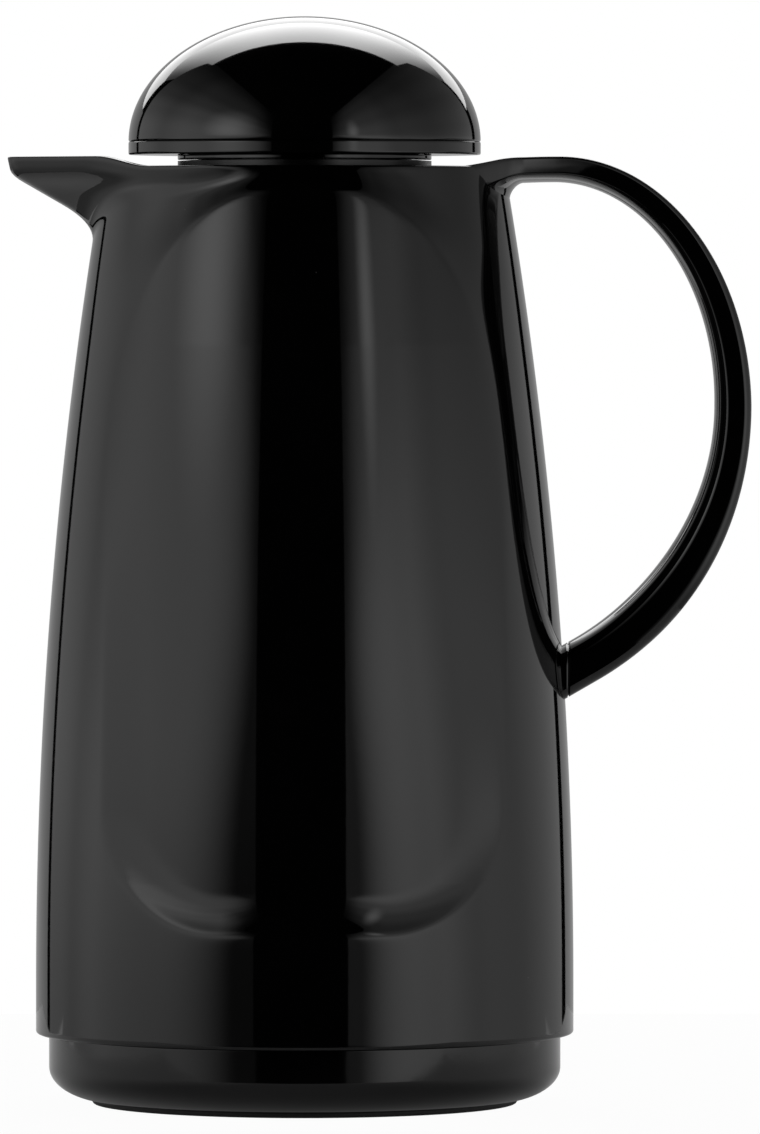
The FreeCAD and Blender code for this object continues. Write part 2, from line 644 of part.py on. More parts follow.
# Neck collar with pouring slots towards the beak
collar = ring(NECK_BORE_R, NECK_R, NECK_Z, NECK_TOP_Z)
collar = collar.fuse(ring(NECK_BORE_R, NECK_R + NECK_FLANGE_W, NECK_Z, NECK_FLANGE_Z))
collar = collar.fuse(thread(
    NECK_BORE_R, -THREAD_DEPTH, THREAD_W, THREAD_PITCH, THREAD_TURNS, NECK_THREAD_Z, THREAD_PHASE))
for n in range(POUR_SLOT_COUNT):
    corner = V(-NECK_R - NECK_WALL, -POUR_SLOT_W / 2.0, DECK_Z + SEAT_GAP)
    slot = Part.makeBox(NECK_R, POUR_SLOT_W, POUR_SLOT_H, corner)
    slot.rotate(V(0, 0, 0), UP, POUR_SLOT_TURN * (n - (POUR_SLOT_COUNT - 1) / 2.0))
    collar = collar.cut(slot)
export("neck_collar", collar)

# Stopper
lip_r = LID_R - DOME_WALL - SEAT_GAP
plate = turned(
    (PLATE_BORE_R, HUB_Z), (NECK_R, HUB_Z), (NECK_R, PLATE_Z), (LID_R - LID_GROOVE, PLATE_Z),
    (LID_R, PLATE_Z + LID_GROOVE), (LID_R, LID_SEAM_Z - LID_GROOVE), (LID_R - LID_GROOVE, LID_SEAM_Z),
    (lip_r, LID_SEAM_Z), (lip_r, LID_SEAM_Z + LID_LIP_H), (lip_r - LID_LIP_W, LID_SEAM_Z + LID_LIP_H),
    (lip_r - LID_LIP_W, FLANGE_Z), (PLATE_BORE_R, FLANGE_Z))
export("lid_plate", plate)
dome = half_ellipsoid(LID_R, DOME_H, LID_SEAM_Z)
export("dome_cover", dome.cut(half_ellipsoid(LID_R - DOME_WALL, DOME_H - DOME_WALL, LID_SEAM_Z)))
flange_r = PLATE_BORE_R + PLUG_FLANGE_W
flange_top = FLANGE_Z + PLUG_FLANGE_T
plug_bore = PLUG_R - PLUG_WALL
plug_floor_z = PLUG_Z + PLUG_WALL
spigot_bore = SPIGOT_R - SPIGOT_WALL
plug = turned(
    (spigot_bore, KEEPER_Z), (SPIGOT_R, KEEPER_Z), (SPIGOT_R, PLUG_Z), (PLUG_R, PLUG_Z), (PLUG_R, FLANGE_Z),
    (flange_r, FLANGE_Z), (flange_r, flange_top), (plug_bore, flange_top),
    (plug_bore, plug_floor_z), (spigot_bore, plug_floor_z))
plug = plug.fuse(thread(
    PLUG_R, THREAD_DEPTH, THREAD_W, THREAD_PITCH, THREAD_TURNS, PLUG_THREAD_Z, THREAD_PHASE))
export("stopper_plug", plug)
keeper_top = KEEPER_Z + KEEPER_LIP_H
keeper_lip_r = spigot_bore - SEAT_GAP
keeper = ring(0.0, MOUTH_R - TURN_GAP, KEEPER_Z - KEEPER_T, KEEPER_Z)
export("plug_keeper", keeper.fuse(ring(0.0, keeper_lip_r, KEEPER_Z, keeper_top)))
foam_r = plug_bore - SEAT_GAP
foam = turned(
    (0, keeper_top), (keeper_lip_r, keeper_top), (keeper_lip_r, plug_floor_z), (foam_r, plug_floor_z),
    (foam_r, flange_top), (0, flange_top))
export("stopper_foam", foam)
seal_r = SPIGOT_R + TURN_GAP
export("stopper_seal", ring(seal_r, PLUG_R - SEAL_INSET, NECK_Z, SEAL_TOP_Z))
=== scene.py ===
import math

import bpy
import numpy as np
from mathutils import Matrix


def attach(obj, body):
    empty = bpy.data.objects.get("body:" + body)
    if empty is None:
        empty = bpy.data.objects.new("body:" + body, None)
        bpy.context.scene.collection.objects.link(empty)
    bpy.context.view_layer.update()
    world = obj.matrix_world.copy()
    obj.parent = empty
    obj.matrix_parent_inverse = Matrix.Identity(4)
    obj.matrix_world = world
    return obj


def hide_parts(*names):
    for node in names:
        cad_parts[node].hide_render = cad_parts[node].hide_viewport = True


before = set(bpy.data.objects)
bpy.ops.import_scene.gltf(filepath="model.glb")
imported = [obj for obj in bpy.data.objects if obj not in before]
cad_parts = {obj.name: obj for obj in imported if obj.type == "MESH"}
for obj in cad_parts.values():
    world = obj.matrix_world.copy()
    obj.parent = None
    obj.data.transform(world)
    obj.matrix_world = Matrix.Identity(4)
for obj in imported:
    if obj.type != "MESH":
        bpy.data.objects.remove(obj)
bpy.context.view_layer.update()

# Sizes in millimetres, the same as in the part's source
FOOT_R = 55.4
FOOT_W = 6.0
FOOT_DROP = 1.0           # part of the foot below the base
FOOT_DEPTH = 1.6          # part of the foot inside its groove
BASE_STEP = 3.4           # the skirt stands proud of the base by this much
BASE_H = 17.3             # from the base's underside to the skirt
BASE_ROUND_W = 14.3
BASE_ROUND_H = 8.6
BODY_R = 70.0
BODY_H = 225.4            # from the skirt to the rim
BODY_WALL = 2.2
BARREL_FOOT = 12.5        # straight part above the skirt
RIM_R = 52.0              # the barrel narrows to this in one arc
SKIRT_EDGE = 0.8
PANEL_HALF_W = 51.5
PANEL_LIFT = 29.4         # from the skirt to the panel's lower edge
PANEL_CORNER = 30.0
PANEL_SIDE_H = 102.3
PANEL_ARCH_H = 88.5
PANEL_POWER = 2.35        # shape of the panel's arch
PANEL_DEPTH = 3.2
PANEL_FADE_H = 150.0      # the panel's depth fades out over this height
PANEL_FILLET = 10.5
SHOULDER_H = 60.0
SHOULDER_DEPTH = 5.4
SHOULDER_FILLET = 11.0
BEAK_OUT = 25.2           # from the rim to the beak's tip
BEAK_LEVEL = 22.9         # level length of the beak's edge
BEAK_SLOPE = 13.9         # length over which the edge comes down to the rim
BEAK_LIP = 4.8            # height of the beak's front edge
BEAK_FRONT = 0.2          # lean of the front edge
BEAK_UNDER = 1.73         # run of the underside for each mm of rise
BEAK_FLANK = 0.75         # how fast the beak's sides spread
BEAK_HALF_W = 6.0         # half width of the beak's tip
BEAK_NOSE = 0.4           # share of that width under the lip
BEAK_BLEND = 2.5          # rounding of the beak's own edges
BEAK_FILLET = 9.0         # blend of the beak into the shoulder
BEAK_RISE = 2.6           # the beak's edge above the rim
RIM_WALL = 2.2
DECK_DROP = 5.0           # from the rim to the deck
DECK_WALL = 3.0
HANDLE_CREST_RUN = 13.6
HANDLE_CREST_RISE = 2.6
HANDLE_REACH = 116.0
HANDLE_MID_DROP = 64.6
HANDLE_LOW_R = 76.2
HANDLE_TOP_T = 6.6
HANDLE_MID_T = 9.4
HANDLE_LOW_T = 12.2
HANDLE_HALF_W = 10.5
HANDLE_ROOT_W = 16.6      # half width at the rim
HANDLE_PLAIN_X = 100.0    # the handle widens from here to the rim
HANDLE_SEAM = 1.2         # the lower seam stands this far off the barrel
HANDLE_TOP_EDGE = 0.8     # rounding of the outer corners where the handle is thin
HANDLE_LOW_EDGE = 3.4     # and where it is thick
HANDLE_PALM_T = 0.4       # the inner corners round off this share of the thickness
HANDLE_PALM_W = 9.8       # and this much of the width on each side
HANDLE_SIDE = 4.6         # from the handle's sides to the channel for the insert
NECK_R = 33.0
NECK_PROUD = 1.5
NECK_L = 17.7
NECK_FLANGE_H = 2.5
NECK_BOSS_WALL = 5.0
LID_R = 45.8
LID_BAND_H = 3.4
LID_HUB_H = 1.3
DOME_H = 32.6
SEAT_GAP = 0.15           # between fixed pieces that slide into each other
TURN_GAP = 0.3            # between pieces that turn or rise past each other

BASE_Z = FOOT_DROP
SKIRT_Z = BASE_Z + BASE_H
RIM_Z = SKIRT_Z + BODY_H
BARREL_Z = SKIRT_Z + BARREL_FOOT
PANEL_Z = SKIRT_Z + PANEL_LIFT
PANEL_ARCH_Z = PANEL_Z + PANEL_SIDE_H
SHOULDER_Z = RIM_Z - SHOULDER_H
BARREL_ARC = ((RIM_Z - BARREL_Z) ** 2 + (BODY_R - RIM_R) ** 2) / (2.0 * (BODY_R - RIM_R))
BEAK_Z = RIM_Z + BEAK_RISE
BEAK_REACH = RIM_R + BEAK_OUT
DECK_Z = RIM_Z - DECK_DROP
CEILING_Z = DECK_Z - DECK_WALL
BASE_R = BODY_R - BASE_STEP
NECK_TOP_Z = RIM_Z + NECK_PROUD
NECK_FLANGE_Z = NECK_TOP_Z - NECK_L + NECK_FLANGE_H
HUB_Z = NECK_TOP_Z + TURN_GAP
PLATE_Z = HUB_Z + LID_HUB_H
LID_SEAM_Z = PLATE_Z + LID_BAND_H
HANDLE_CREST_X = RIM_R + HANDLE_CREST_RUN
HANDLE_TOP_Z = RIM_Z + HANDLE_CREST_RISE - HANDLE_TOP_T / 2.0
HANDLE_MID_Z = RIM_Z + HANDLE_CREST_RISE - HANDLE_MID_DROP
HANDLE_MID_X = HANDLE_REACH - HANDLE_MID_T / 2.0

# Sizes of the visual meshes alone, in millimetres
CREASE = 0.7              # rounding of the panel's edge
UPPER_Z = 190.0           # above this the rows follow the rim's edge
RIM_EDGE = 0.6            # rounding of the rim's outer edge
RIM_INNER_EDGE = 0.5
DECK_FILLET = 1.5
BEVEL = 0.4
GUARD = 1.4               # rows this many roundings from a corner keep the flats beside it flat when shaded
SEGMENTS = 256
MM = 0.001


def smooth(t):
    t = np.clip(t, 0.0, 1.0)
    return t * t * (3.0 - 2.0 * t)


def settle(t):
    t = np.clip(t, 0.0, 1.0)
    return 1.0 - (1.0 - t) ** 2


def larger(a, b, blend):
    h = np.maximum(blend - np.abs(a - b), 0.0) / blend
    return np.maximum(a, b) + h * h * blend / 4.0


def smaller(a, b, blend):
    return -larger(-a, -b, blend)


def positive(t):
    """Positive part of a length, with a rounded start."""
    return (t + np.sqrt(t * t + CREASE * CREASE)) / 2.0


def barrel_r(z):
    rise = np.maximum(z - BARREL_Z, 0.0)
    return BODY_R - BARREL_ARC + np.sqrt(BARREL_ARC ** 2 - rise ** 2)


def panel_inset(x, z):
    w = np.abs(x)
    across = w - (PANEL_HALF_W - PANEL_CORNER)
    down = PANEL_Z + PANEL_CORNER - z
    corner = np.hypot(np.maximum(across, 0.0), np.maximum(down, 0.0))
    low = PANEL_CORNER - corner - np.minimum(np.maximum(across, down), 0.0)
    u = np.maximum(w / PANEL_HALF_W, 1e-6)
    v = np.maximum((z - PANEL_ARCH_Z) / PANEL_ARCH_H, 1e-6)
    n = PANEL_POWER
    f = np.maximum((u ** n + v ** n) ** (1.0 / n), 1e-6)
    slope = np.hypot((u / f) ** (n - 1.0) / PANEL_HALF_W, (v / f) ** (n - 1.0) / PANEL_ARCH_H)
    return np.where(z < PANEL_ARCH_Z, low, (1.0 - f) / slope)


def beak_r(turn, z):
    front = BEAK_REACH - BEAK_FRONT * (BEAK_Z - z)
    under = BEAK_REACH - BEAK_FRONT * BEAK_LIP - BEAK_UNDER * (BEAK_Z - BEAK_LIP - z)
    tip = np.maximum(smaller(front, under, BEAK_BLEND), 0.0)
    rise = smooth((z - BEAK_Z + 2.0 * BEAK_LIP) / (2.0 * BEAK_LIP))
    half_w = BEAK_HALF_W * (BEAK_NOSE + (1.0 - BEAK_NOSE) * rise)
    near = math.atan(1.0 / BEAK_FLANK)
    line = (half_w + BEAK_FLANK * tip) / math.hypot(1.0, BEAK_FLANK)
    lean = np.cos(turn - near)
    flank = np.where(turn > near, line * lean, line / np.maximum(lean, 0.1))
    flat = tip / np.maximum(np.cos(turn), 0.1)
    return np.where(turn > math.radians(60.0), flank, smaller(flank, flat, BEAK_BLEND))


def skin_r(turn, z, beak=True):
    """Radius of the body's skin at an angle from the beak's middle and a height."""
    turn = np.abs((turn + math.pi) % (2.0 * math.pi) - math.pi)
    r = barrel_r(z)
    inset = panel_inset(r * np.cos(turn), z)
    fade = np.maximum(1.0 - (z - PANEL_Z) / PANEL_FADE_H, 0.0)
    lean = smooth((z - SHOULDER_Z) / SHOULDER_H) * settle(positive(-inset) / SHOULDER_FILLET)
    r = r - PANEL_DEPTH * fade * settle(positive(inset) / PANEL_FILLET)
    r = r - SHOULDER_DEPTH * np.sin(turn) ** 2 * lean
    if beak:
        r = larger(r, beak_r(turn, z), BEAK_FILLET)
    return r


def rim_top(x):
    """Height of the rim's edge at a distance along the jug."""
    level = BEAK_LEVEL - BEAK_REACH
    t = np.clip((x - level) / BEAK_SLOPE, 0.0, 1.0)
    return BEAK_Z - BEAK_RISE * smooth(t)


def spaced(*runs):
    """Values in runs of (start, end, step), each from its start up to the next run's start."""
    values = []
    for start, end, step in runs:
        count = max(int(round((end - start) / step)), 1)
        values.extend(start + (end - start) * i / count for i in range(count))
    return np.array(values)


def mesh_object(name, points, faces, body, nodes, material):
    """A smooth piece from points in millimetres that rides on a body and stands for CAD nodes."""
    mesh = bpy.data.meshes.new(name)
    mesh.from_pydata((np.asarray(points) * MM).tolist(), [], faces)
    mesh.validate()
    mesh.update()
    mesh.shade_smooth()
    piece = bpy.data.objects.new(name, mesh)
    bpy.context.scene.collection.objects.link(piece)
    mesh.materials.append(material)
    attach(piece, body)
    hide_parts(*nodes)


def grid_faces(rows, columns, close_rows, close_columns):
    """Quads of a grid of points, closed round in either direction where asked."""
    faces = []
    for j in range(rows if close_rows else rows - 1):
        k = (j + 1) % rows
        for i in range(columns if close_columns else columns - 1):
            m = (i + 1) % columns
            faces.append((j * columns + i, j * columns + m, k * columns + m, k * columns + i))
    return faces


def rounded(start, corner, end, radius, steps=4):
    """Points of a rounded corner between two straight lines of a profile."""
    s, c, e = (np.array(p, float) for p in (start, corner, end))
    a = c + (s - c) * radius / np.linalg.norm(s - c)
    b = c + (e - c) * radius / np.linalg.norm(e - c)
    return [tuple((1 - t) ** 2 * a + 2 * t * (1 - t) * c + t * t * b)
            for t in np.linspace(0.0, 1.0, steps + 1)]


def profile(*corners):
    """Closed profile of (radius, height, rounding) corners, with the rounded ones drawn out and guarded."""
    points = []
    for i, (r, z, edge) in enumerate(corners):
        before, after = corners[i - 1], corners[(i + 1) % len(corners)]
        if edge > 0.0:
            guards = rounded(before[:2], (r, z), after[:2], edge * GUARD)
            points += [guards[0], *rounded(before[:2], (r, z), after[:2], edge), guards[-1]]
        else:
            points.append((r, z))
    return points


def turned_rows(points):
    """Rings about the jug's axis, one for each (radius, height)."""
    a = np.arange(SEGMENTS) * 2.0 * math.pi / SEGMENTS
    return [np.column_stack([r * np.cos(a), r * np.sin(a), np.full(SEGMENTS, z)]) for r, z in points]


def turned(name, points, body, nodes, material):
    """Piece turned about the jug's axis from a closed profile that stays clear of the axis."""
    faces = [f[::-1] for f in grid_faces(len(points), SEGMENTS, True, True)]
    mesh_object(name, np.concatenate(turned_rows(points)), faces, body, nodes, material)


# Materials


def material(name):
    made = bpy.data.materials.new(name)
    made.use_nodes = True
    nodes = made.node_tree.nodes
    return made, nodes, made.node_tree.links, nodes["Principled BSDF"]


def gloss_plastic(name, tone, roughness, peel):
    """Black moulded plastic: faint mottling, uneven polish, slight orange peel and a few specks of dust."""
    made, nodes, links, shader = material(name)
    place = nodes.new("ShaderNodeTexCoord")
    mottle = nodes.new("ShaderNodeTexNoise")
    mottle.inputs["Scale"].default_value = 90.0
    mottle.inputs["Detail"].default_value = 4.0
    links.new(place.outputs["Object"], mottle.inputs["Vector"])
    tint = nodes.new("ShaderNodeValToRGB")
    tint.color_ramp.elements[0].position = 0.3
    tint.color_ramp.elements[0].color = (tone * 0.8, tone * 0.8, tone * 0.85, 1.0)
    tint.color_ramp.elements[1].position = 0.7
    tint.color_ramp.elements[1].color = (tone * 1.2, tone * 1.2, tone * 1.25, 1.0)
    links.new(mottle.outputs["Fac"], tint.inputs["Fac"])
    dust = nodes.new("ShaderNodeTexVoronoi")
    dust.inputs["Scale"].default_value = 55.0
    links.new(place.outputs["Object"], dust.inputs["Vector"])
    speck = nodes.new("ShaderNodeValToRGB")
    speck.color_ramp.elements[0].position = 0.008
    speck.color_ramp.elements[0].color = (1.0, 1.0, 1.0, 1.0)
    speck.color_ramp.elements[1].position = 0.016
    speck.color_ramp.elements[1].color = (0.0, 0.0, 0.0, 1.0)
    links.new(dust.outputs["Distance"], speck.inputs["Fac"])
    colour = nodes.new("ShaderNodeMix")
    colour.data_type = "RGBA"
    links.new(speck.outputs["Color"], colour.inputs["Factor"])
    links.new(tint.outputs["Color"], colour.inputs["A"])
    colour.inputs["B"].default_value = (0.05, 0.05, 0.05, 1.0)
    links.new(colour.outputs["Result"], shader.inputs["Base Color"])
    polish = nodes.new("ShaderNodeTexNoise")
    polish.inputs["Scale"].default_value = 26.0
    polish.inputs["Detail"].default_value = 2.0
    links.new(place.outputs["Object"], polish.inputs["Vector"])
    span = nodes.new("ShaderNodeMapRange")
    span.inputs["To Min"].default_value = roughness * 0.8
    span.inputs["To Max"].default_value = roughness * 1.25
    links.new(polish.outputs["Fac"], span.inputs["Value"])
    links.new(span.outputs["Result"], shader.inputs["Roughness"])
    grain = nodes.new("ShaderNodeTexNoise")
    grain.inputs["Scale"].default_value = 420.0
    grain.inputs["Detail"].default_value = 1.0
    links.new(place.outputs["Object"], grain.inputs["Vector"])
    bump = nodes.new("ShaderNodeBump")
    bump.inputs["Strength"].default_value = peel
    bump.inputs["Distance"].default_value = 0.0002
    links.new(grain.outputs["Fac"], bump.inputs["Height"])
    links.new(bump.outputs["Normal"], shader.inputs["Normal"])
    shader.inputs["IOR"].default_value = 1.49
    return made


def speckled(name, dark, light, roughness, scale, strength, metallic=0.0):
    """Plain finish with grain: rubber, glass, foam or metal, by its colours, roughness and grain."""
    made, nodes, links, shader = material(name)
    place = nodes.new("ShaderNodeTexCoord")
    grain = nodes.new("ShaderNodeTexNoise")
    grain.inputs["Scale"].default_value = scale
    grain.inputs["Detail"].default_value = 5.0
    links.new(place.outputs["Object"], grain.inputs["Vector"])
    tint = nodes.new("ShaderNodeValToRGB")
    tint.color_ramp.elements[0].position = 0.3
    tint.color_ramp.elements[0].color = (*dark, 1.0)
    tint.color_ramp.elements[1].position = 0.7
    tint.color_ramp.elements[1].color = (*light, 1.0)
    links.new(grain.outputs["Fac"], tint.inputs["Fac"])
    links.new(tint.outputs["Color"], shader.inputs["Base Color"])
    span = nodes.new("ShaderNodeMapRange")
    span.inputs["To Min"].default_value = roughness * 0.8
    span.inputs["To Max"].default_value = min(roughness * 1.2, 1.0)
    links.new(grain.outputs["Fac"], span.inputs["Value"])
    links.new(span.outputs["Result"], shader.inputs["Roughness"])
    bump = nodes.new("ShaderNodeBump")
    bump.inputs["Strength"].default_value = strength
    bump.inputs["Distance"].default_value = 0.0003
    links.new(grain.outputs["Fac"], bump.inputs["Height"])
    links.new(bump.outputs["Normal"], shader.inputs["Normal"])
    shader.inputs["Metallic"].default_value = metallic
    return made


body_black = gloss_plastic("body_black", 0.0012, 0.045, 0.015)
handle_black = gloss_plastic("handle_black", 0.0012, 0.06, 0.015)
base_black = gloss_plastic("base_black", 0.0014, 0.08, 0.02)
lid_black = gloss_plastic("lid_black", 0.0012, 0.05, 0.015)
inner_black = gloss_plastic("inner_black", 0.004, 0.25, 0.06)
foot_rubber = speckled("foot_rubber", (0.010, 0.010, 0.010), (0.018, 0.018, 0.018), 0.55, 900.0, 0.25)
seal_rubber = speckled("seal_rubber", (0.55, 0.55, 0.53), (0.66, 0.66, 0.64), 0.45, 700.0, 0.15)
silvered_glass = speckled("silvered_glass", (0.70, 0.72, 0.74), (0.82, 0.84, 0.85), 0.08, 60.0, 0.03, 1.0)
spacer_grey = speckled("spacer_grey", (0.38, 0.38, 0.37), (0.5, 0.5, 0.49), 0.8, 800.0, 0.3)
foam_white = speckled("foam_white", (0.75, 0.75, 0.72), (0.88, 0.88, 0.86), 0.95, 1200.0, 0.6)
screw_steel = speckled("screw_steel", (0.5, 0.5, 0.51), (0.66, 0.66, 0.67), 0.3, 1500.0, 0.1, 1.0)

# Body: one closed skin, from the skirt up the outside, over the rim, down the trough and back inside
turns = spaced((0, 12, 0.5), (12, 38, 0.8), (38, 142, 0.75), (142, 180, 1.3))
turns = np.radians(np.concatenate([turns, [180.0], 360.0 - turns[:0:-1]]))
ledge_low = PANEL_Z - 4.0
ledge_high = PANEL_Z + PANEL_FILLET + 2.0
levels = spaced(
    (SKIRT_Z + 2.0 * SKIRT_EDGE, ledge_low, 3.5), (ledge_low, ledge_high, 0.55),
    (ledge_high, PANEL_ARCH_Z, 2.6), (PANEL_ARCH_Z, UPPER_Z, 1.5), (UPPER_Z, RIM_Z - RIM_EDGE, 0.85))


def skin_row(z, beak=True, inset=0.0):
    """One ring of the skin, at a height that may differ from column to column."""
    z = np.broadcast_to(z, turns.shape)
    r = skin_r(turns, z, beak) - inset
    return np.column_stack([-r * np.cos(turns), r * np.sin(turns), z])


def plain_ring(r, z):
    return np.column_stack([-r * np.cos(turns), r * np.sin(turns), np.full(turns.shape, z)])


edge_z = np.full(turns.shape, RIM_Z)
for _ in range(4):
    edge_z = rim_top(-skin_r(turns, edge_z) * np.cos(turns))
bore = BODY_R - BODY_WALL
ring_rows = [plain_ring(BODY_R - SKIRT_EDGE - BEVEL, SKIRT_Z), plain_ring(BODY_R - SKIRT_EDGE, SKIRT_Z)]
ring_rows += [
    plain_ring(BODY_R - SKIRT_EDGE * (1.0 - math.sin(a)), SKIRT_Z + SKIRT_EDGE * (1.0 - math.cos(a)))
    for a in np.radians([15, 30, 45, 60, 75])]
ring_rows.append(plain_ring(BODY_R, SKIRT_Z + SKIRT_EDGE))
for z in levels:
    share = max((z - UPPER_Z) / (RIM_Z - UPPER_Z), 0.0)
    ring_rows.append(skin_row(z + share * (edge_z - RIM_Z)))
for a in np.radians([0, 22, 45, 68, 90]):
    inset = RIM_EDGE * (1.0 - math.cos(a))
    ring_rows.append(skin_row(edge_z - RIM_EDGE * (1.0 - math.sin(a)), inset=inset))
for a in np.radians([0, 30, 60, 90]):
    inset = RIM_WALL - RIM_INNER_EDGE * (1.0 - math.sin(a))
    ring_rows.append(skin_row(edge_z - RIM_INNER_EDGE * (1.0 - math.cos(a)), inset=inset))
for t in (0.25, 0.5, 0.75):
    ring_rows.append(skin_row(edge_z + (DECK_Z + DECK_FILLET - edge_z) * t, inset=RIM_WALL))
for a in np.radians([0, 30, 60, 90]):
    inset = RIM_WALL + DECK_FILLET * (1.0 - math.cos(a))
    ring_rows.append(skin_row(DECK_Z + DECK_FILLET * (1.0 - math.sin(a)), inset=inset))
deck_start = ring_rows[-1][:, :2]
hole = NECK_R + SEAT_GAP
deck_end = plain_ring(hole + BEVEL, DECK_Z)
for t in (0.35, 0.7, 1.0):
    ring = plain_ring(hole + BEVEL, DECK_Z)
    ring[:, :2] = deck_start + (deck_end[:, :2] - deck_start) * t
    ring_rows.append(ring)
ring_rows += [plain_ring(hole, DECK_Z - BEVEL), plain_ring(hole, NECK_FLANGE_Z)]
boss = NECK_R + NECK_BOSS_WALL
ring_rows += [plain_ring(boss, NECK_FLANGE_Z), plain_ring(boss, CEILING_Z)]
for z in np.linspace(CEILING_Z, SKIRT_Z + 4.0, 10):
    ring_rows.append(skin_row(z, beak=False, inset=BODY_WALL))
ring_rows.append(plain_ring(bore, SKIRT_Z))
body_points = np.concatenate(ring_rows)
body_faces = [f[::-1] for f in grid_faces(len(ring_rows), len(turns), True, True)]
mesh_object("jug_body", body_points, body_faces, "jug", ["body_shell"], body_black)

# Handle: a loop of rounded section whose root spreads onto the shoulder


def low_seam():
    """Distance from the axis and angle on the handle's lower arc at which the seam crosses it."""
    z = HANDLE_MID_Z - HANDLE_LOW_R
    for _ in range(12):
        x = float(barrel_r(np.array(z))) + HANDLE_SEAM
        a = math.acos(1.0 - (HANDLE_MID_X - x) / HANDLE_LOW_R)
        z = HANDLE_MID_Z - HANDLE_LOW_R * math.sin(a)
    return x, a


seam_x, seam_turn = low_seam()
NECK_ROWS = 12
UPPER_ROWS = 61
LOWER_ROWS = 70
ROOT_ROWS = 22
CORNER_STEPS = 6
SEAM_LEAD = 0.07          # angle before the seam at which the handle's plain sections end
SWELL_TURN = 48.0         # degrees of the lower arc over which the handle thickens
ROOT_NECK_X = 57.0        # the root's fillets end here
ROOT_NECK_DROP = 0.2      # and the arm is this much lower there than at its crest
GROOVE = 0.4              # depth of the seams
GROOVE_FROM = 20          # the grooves along the strip begin at this station
GROOVE_TO = 12            # and end this many stations before the last
GROOVE_FADE = 3.0
HANDLE_SPREAD = (HANDLE_ROOT_W - HANDLE_HALF_W) / (HANDLE_PLAIN_X - RIM_R) ** 2


def handle_w(x):
    """Half width of the handle, which widens towards its root."""
    return HANDLE_HALF_W + HANDLE_SPREAD * max(HANDLE_PLAIN_X - x, 0.0) ** 2


def handle_edge(t):
    """Rounding of the outer corners for a thickness."""
    share = min((t - HANDLE_TOP_T) / (HANDLE_LOW_T - HANDLE_TOP_T), 1.0)
    return HANDLE_TOP_EDGE + (HANDLE_LOW_EDGE - HANDLE_TOP_EDGE) * share


def handle_line():
    """Centre, direction, thickness and half width along the handle, from its neck almost to its lower seam."""
    run = HANDLE_MID_X - HANDLE_CREST_X
    drop = HANDLE_TOP_Z - HANDLE_MID_Z
    for x in np.linspace(ROOT_NECK_X, HANDLE_CREST_X, NECK_ROWS)[:-1]:
        low = ROOT_NECK_DROP * ((HANDLE_CREST_X - x) / (HANDLE_CREST_X - ROOT_NECK_X)) ** 2
        yield np.array([x, 0.0, HANDLE_TOP_Z - low]), np.array([1.0, 0.0, 0.0]), HANDLE_TOP_T, handle_w(x)
    for a in np.radians(np.linspace(90.0, 0.0, UPPER_ROWS)[:-1]):
        t = HANDLE_TOP_T + (HANDLE_MID_T - HANDLE_TOP_T) * (1.0 - a / math.radians(90.0))
        place = np.array([HANDLE_CREST_X + run * math.cos(a), 0.0, HANDLE_MID_Z + drop * math.sin(a)])
        yield place, np.array([run * math.sin(a), 0.0, -drop * math.cos(a)]), t, handle_w(place[0])
    for a in np.linspace(0.0, seam_turn - SEAM_LEAD, LOWER_ROWS):
        t = HANDLE_MID_T + (HANDLE_LOW_T - HANDLE_MID_T) * float(smooth(math.degrees(a) / SWELL_TURN))
        x = HANDLE_MID_X - HANDLE_LOW_R * (1.0 - math.cos(a))
        place = np.array([x, 0.0, HANDLE_MID_Z - HANDLE_LOW_R * math.sin(a)])
        yield place, np.array([-math.sin(a), 0.0, -math.cos(a)]), t, HANDLE_HALF_W


# Inner side of a section, from its edge to its middle: share of the curved width, and 1.0 inside a groove
GROOVE_SHARE = 0.02       # half width of a groove, as a share of the curved width
strip_edge = 1.0 - HANDLE_SIDE / HANDLE_PALM_W
palm_shares = [(math.sin(a), 0.0) for a in np.radians(np.linspace(90.0, 0.0, 19))]
palm_shares += [(strip_edge + d, float(abs(d) < GROOVE_SHARE))
                for d in (0.05, 0.026, 0.016, -0.016, -0.026, -0.05)]
palm_shares.sort(reverse=True)


def section(half_t, half_w, edge, groove=0.0):
    """Rounded oblong of (outward, sideways) offsets, with two grooves along its curved inner side."""
    palm_t = 2.0 * HANDLE_PALM_T * half_t
    palm_w = HANDLE_PALM_W * half_w / HANDLE_HALF_W
    half = [(half_t - edge + edge * math.cos(a), half_w - edge + edge * math.sin(a))
            for a in np.radians(np.linspace(0.0, 90.0, CORNER_STEPS + 1))]
    for share, sunk in palm_shares:
        out = palm_t * (1.0 - math.sqrt(1.0 - share * share)) + groove * sunk - half_t
        half.append((out, half_w - palm_w * (1.0 - share)))
    middle = [(half_t, (edge - half_w) * (1.0 - 2.0 * t)) for t in (0.25, 0.5, 0.75)]
    return np.array(half + [(-half_t, 0.0)] + [(out, -side) for out, side in reversed(half)] + middle)


def place_section(place, along, half_t, half_w, edge, groove=0.0):
    """Points of a section set square to a direction at a place."""
    along = along / np.linalg.norm(along)
    outward = np.array([-along[2], 0.0, along[0]])
    s = section(half_t, half_w, edge, groove)
    return place + s[:, :1] * outward + s[:, 1:] * np.array([0.0, 1.0, 0.0])


